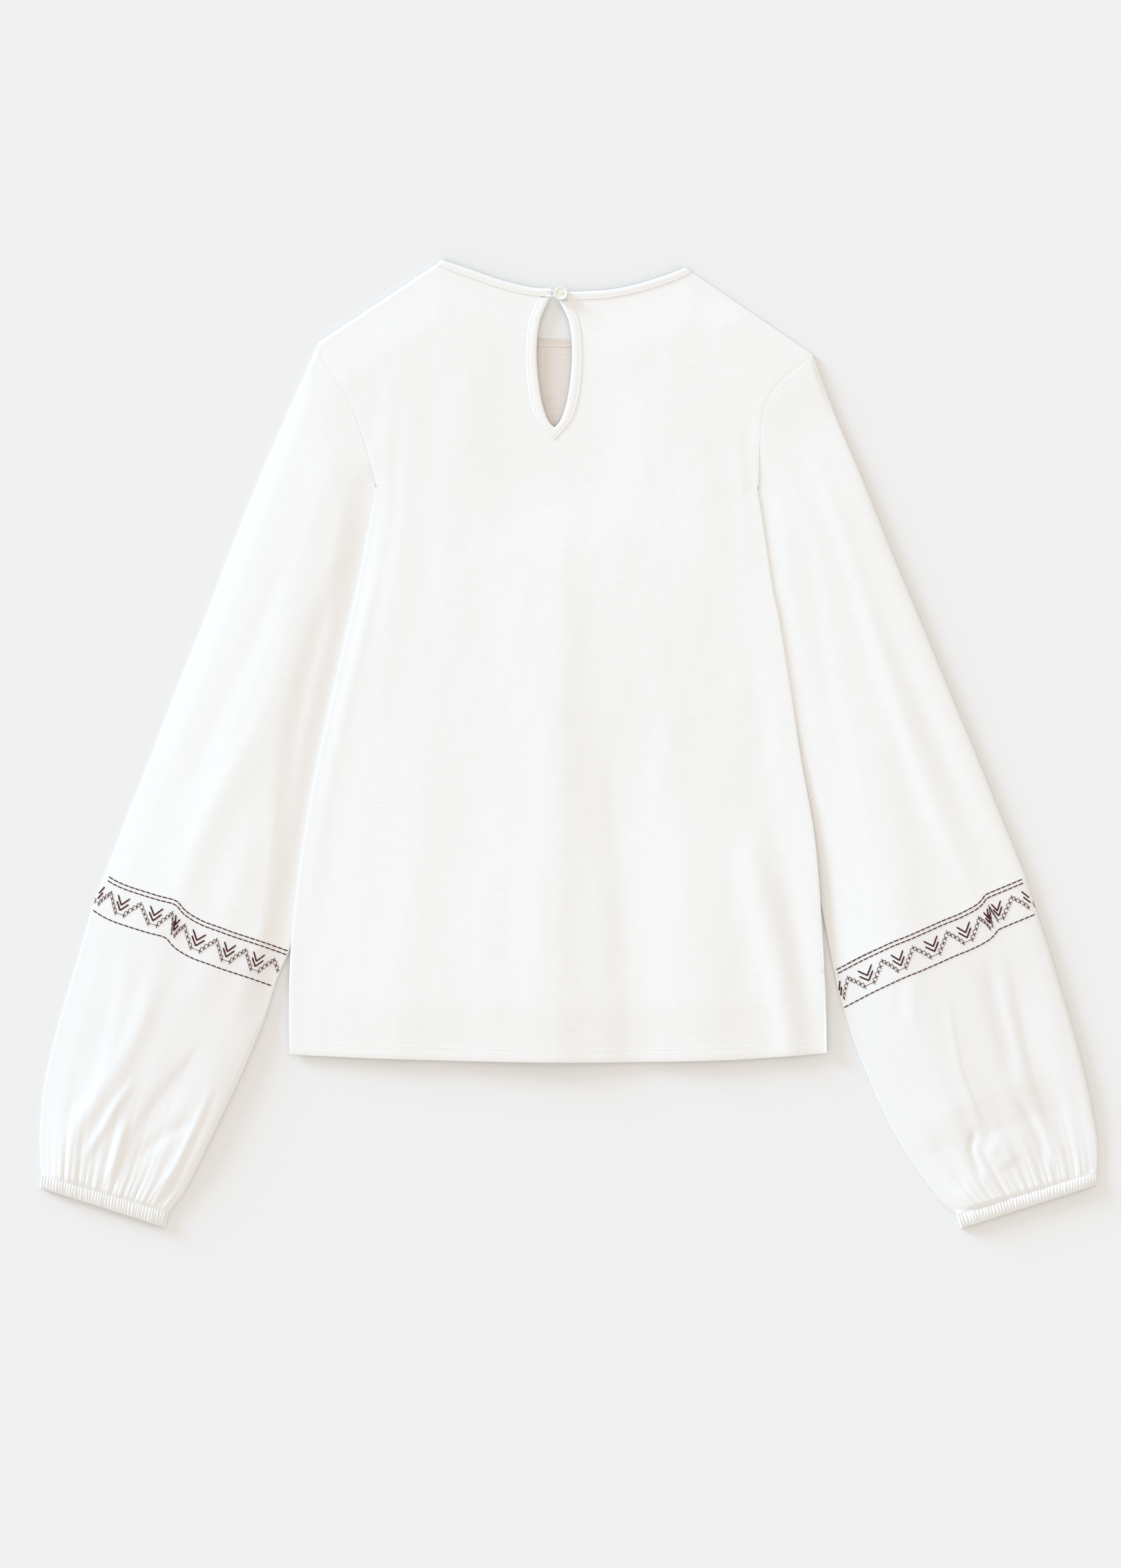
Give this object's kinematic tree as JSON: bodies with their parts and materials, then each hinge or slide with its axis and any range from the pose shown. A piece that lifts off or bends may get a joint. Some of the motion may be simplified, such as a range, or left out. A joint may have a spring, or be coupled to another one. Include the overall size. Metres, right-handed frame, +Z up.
{
  "type": "t-shirt",
  "caption": "Long-sleeved jersey top laid flat with its back upwards: gathered sleeves with ribbed elastic cuffs and a buttoned keyhole neck.",
  "frame": {"origin": "centre of the laid-out garment's bounding box, on the surface it lies on", "axes": "+X across the garment towards its right sleeve, +Y from the hem towards the neck, +Z up from the surface; the back of the garment faces +Z"},
  "size_m": [0.7964, 0.729, 0.0085],
  "materials": {
    "jersey": "matt slub cotton jersey",
    "poplin": "matt cotton poplin",
    "binding": "folded cotton tape, edge-stitched",
    "pearl": "polished pearl",
    "thread": "twisted cotton thread",
    "embroidery": "stranded cotton embroidery thread"
  },
  "bodies": {
    "root": {"back_panel": "jersey", "front_panel": "jersey", "neck_binding": "binding", "keyhole_binding": "binding", "left_sleeve_upper": "jersey", "right_sleeve_upper": "jersey", "left_sleeve_lower": "poplin", "right_sleeve_lower": "poplin", "left_cuff": "poplin", "right_cuff": "poplin", "button": "pearl", "button_loop": "thread"}
  },
  "joints": []
}
